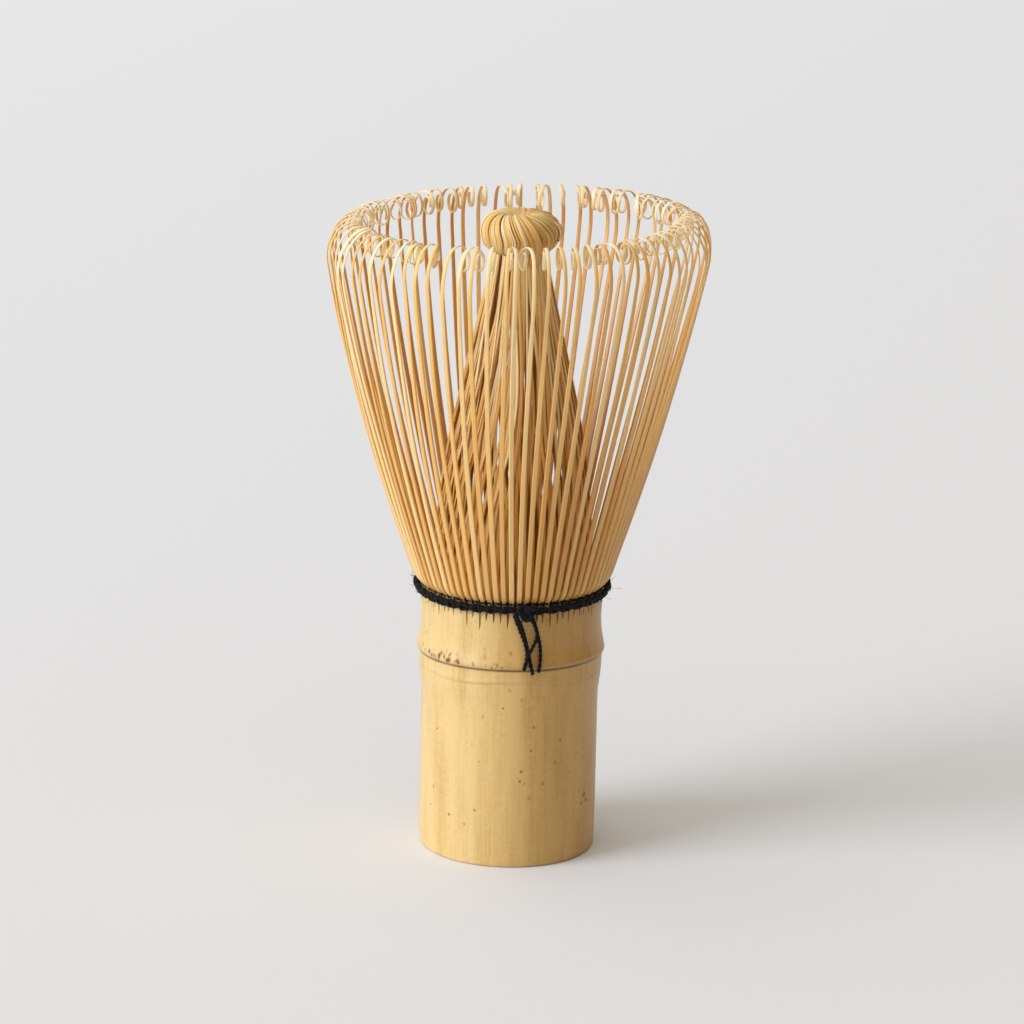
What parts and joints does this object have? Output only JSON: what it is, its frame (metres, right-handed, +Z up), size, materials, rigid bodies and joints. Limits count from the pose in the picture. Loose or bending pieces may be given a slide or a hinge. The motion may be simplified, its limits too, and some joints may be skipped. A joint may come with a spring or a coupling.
{
  "type": "tea whisk",
  "caption": "Bamboo tea whisk: hollow culm handle, a bell of split tines with curled tips, a gathered inner core and a black thread binding.",
  "frame": {"origin": "centre of the ring that the handle stands on, at the bottom of the whisk", "axes": "+Z up along the handle's axis towards the tines; -Y is the front, where the thread's knot is"},
  "size_m": [0.0604, 0.0604, 0.1024],
  "materials": {
    "culm_skin": "satin dried bamboo skin",
    "split_bamboo": "satin split bamboo, knife-shaved",
    "inner_bamboo": "matt shaved bamboo pith side",
    "black_thread": "twisted cotton thread, slightly fuzzy"
  },
  "bodies": {
    "root": {"handle_culm": "culm_skin", "inner_tines_01": "inner_bamboo", "inner_tines_02": "inner_bamboo", "inner_tines_03": "inner_bamboo", "inner_tines_04": "inner_bamboo", "inner_tines_05": "inner_bamboo", "inner_tines_06": "inner_bamboo", "inner_tines_07": "inner_bamboo", "inner_tines_08": "inner_bamboo", "inner_tines_09": "inner_bamboo", "inner_tines_10": "inner_bamboo", "inner_tines_11": "inner_bamboo", "inner_tines_12": "inner_bamboo", "inner_tines_13": "inner_bamboo", "inner_tines_14": "inner_bamboo", "inner_tines_15": "inner_bamboo", "inner_tines_16": "inner_bamboo", "core_knob": "inner_bamboo", "thread_outer_rounds": "black_thread", "thread_weave_round": "black_thread", "thread_knot": "black_thread", "thread_tail_left": "black_thread", "thread_tail_right": "black_thread"},
    "stave_01": {"outer_tines_01": "split_bamboo"},
    "stave_02": {"outer_tines_02": "split_bamboo"},
    "stave_03": {"outer_tines_03": "split_bamboo"},
    "stave_04": {"outer_tines_04": "split_bamboo"},
    "stave_05": {"outer_tines_05": "split_bamboo"},
    "stave_06": {"outer_tines_06": "split_bamboo"},
    "stave_07": {"outer_tines_07": "split_bamboo"},
    "stave_08": {"outer_tines_08": "split_bamboo"},
    "stave_09": {"outer_tines_09": "split_bamboo"},
    "stave_10": {"outer_tines_10": "split_bamboo"},
    "stave_11": {"outer_tines_11": "split_bamboo"},
    "stave_12": {"outer_tines_12": "split_bamboo"},
    "stave_13": {"outer_tines_13": "split_bamboo"},
    "stave_14": {"outer_tines_14": "split_bamboo"},
    "stave_15": {"outer_tines_15": "split_bamboo"},
    "stave_16": {"outer_tines_16": "split_bamboo"}
  },
  "joints": [
    {"name": "stave_01_flex", "type": "hinge", "parent": "root", "child": "stave_01", "pos_m": [0.01415, 0, 0.043], "axis": [0, 1, 0], "range_deg": [-3, 8], "stiffness_Nm_per_rad": 0.015},
    {"name": "stave_02_flex", "type": "hinge", "parent": "root", "child": "stave_02", "pos_m": [0.01307, 0.00541, 0.043], "axis": [-0.3827, 0.9239, 0], "range_deg": [-3, 8], "stiffness_Nm_per_rad": 0.015},
    {"name": "stave_03_flex", "type": "hinge", "parent": "root", "child": "stave_03", "pos_m": [0.01001, 0.01001, 0.043], "axis": [-0.7071, 0.7071, 0], "range_deg": [-3, 8], "stiffness_Nm_per_rad": 0.015},
    {"name": "stave_04_flex", "type": "hinge", "parent": "root", "child": "stave_04", "pos_m": [0.00541, 0.01307, 0.043], "axis": [-0.9239, 0.3827, 0], "range_deg": [-3, 8], "stiffness_Nm_per_rad": 0.015},
    {"name": "stave_05_flex", "type": "hinge", "parent": "root", "child": "stave_05", "pos_m": [0, 0.01415, 0.043], "axis": [-1, 0, 0], "range_deg": [-3, 8], "stiffness_Nm_per_rad": 0.015},
    {"name": "stave_06_flex", "type": "hinge", "parent": "root", "child": "stave_06", "pos_m": [-0.00541, 0.01307, 0.043], "axis": [-0.9239, -0.3827, 0], "range_deg": [-3, 8], "stiffness_Nm_per_rad": 0.015},
    {"name": "stave_07_flex", "type": "hinge", "parent": "root", "child": "stave_07", "pos_m": [-0.01001, 0.01001, 0.043], "axis": [-0.7071, -0.7071, 0], "range_deg": [-3, 8], "stiffness_Nm_per_rad": 0.015},
    {"name": "stave_08_flex", "type": "hinge", "parent": "root", "child": "stave_08", "pos_m": [-0.01307, 0.00541, 0.043], "axis": [-0.3827, -0.9239, 0], "range_deg": [-3, 8], "stiffness_Nm_per_rad": 0.015},
    {"name": "stave_09_flex", "type": "hinge", "parent": "root", "child": "stave_09", "pos_m": [-0.01415, 0, 0.043], "axis": [0, -1, 0], "range_deg": [-3, 8], "stiffness_Nm_per_rad": 0.015},
    {"name": "stave_10_flex", "type": "hinge", "parent": "root", "child": "stave_10", "pos_m": [-0.01307, -0.00541, 0.043], "axis": [0.3827, -0.9239, 0], "range_deg": [-3, 8], "stiffness_Nm_per_rad": 0.015},
    {"name": "stave_11_flex", "type": "hinge", "parent": "root", "child": "stave_11", "pos_m": [-0.01001, -0.01001, 0.043], "axis": [0.7071, -0.7071, 0], "range_deg": [-3, 8], "stiffness_Nm_per_rad": 0.015},
    {"name": "stave_12_flex", "type": "hinge", "parent": "root", "child": "stave_12", "pos_m": [-0.00541, -0.01307, 0.043], "axis": [0.9239, -0.3827, 0], "range_deg": [-3, 8], "stiffness_Nm_per_rad": 0.015},
    {"name": "stave_13_flex", "type": "hinge", "parent": "root", "child": "stave_13", "pos_m": [0, -0.01415, 0.043], "axis": [1, 0, 0], "range_deg": [-3, 8], "stiffness_Nm_per_rad": 0.015},
    {"name": "stave_14_flex", "type": "hinge", "parent": "root", "child": "stave_14", "pos_m": [0.00541, -0.01307, 0.043], "axis": [0.9239, 0.3827, 0], "range_deg": [-3, 8], "stiffness_Nm_per_rad": 0.015},
    {"name": "stave_15_flex", "type": "hinge", "parent": "root", "child": "stave_15", "pos_m": [0.01001, -0.01001, 0.043], "axis": [0.7071, 0.7071, 0], "range_deg": [-3, 8], "stiffness_Nm_per_rad": 0.015},
    {"name": "stave_16_flex", "type": "hinge", "parent": "root", "child": "stave_16", "pos_m": [0.01307, -0.00541, 0.043], "axis": [0.3827, 0.9239, 0], "range_deg": [-3, 8], "stiffness_Nm_per_rad": 0.015}
  ]
}
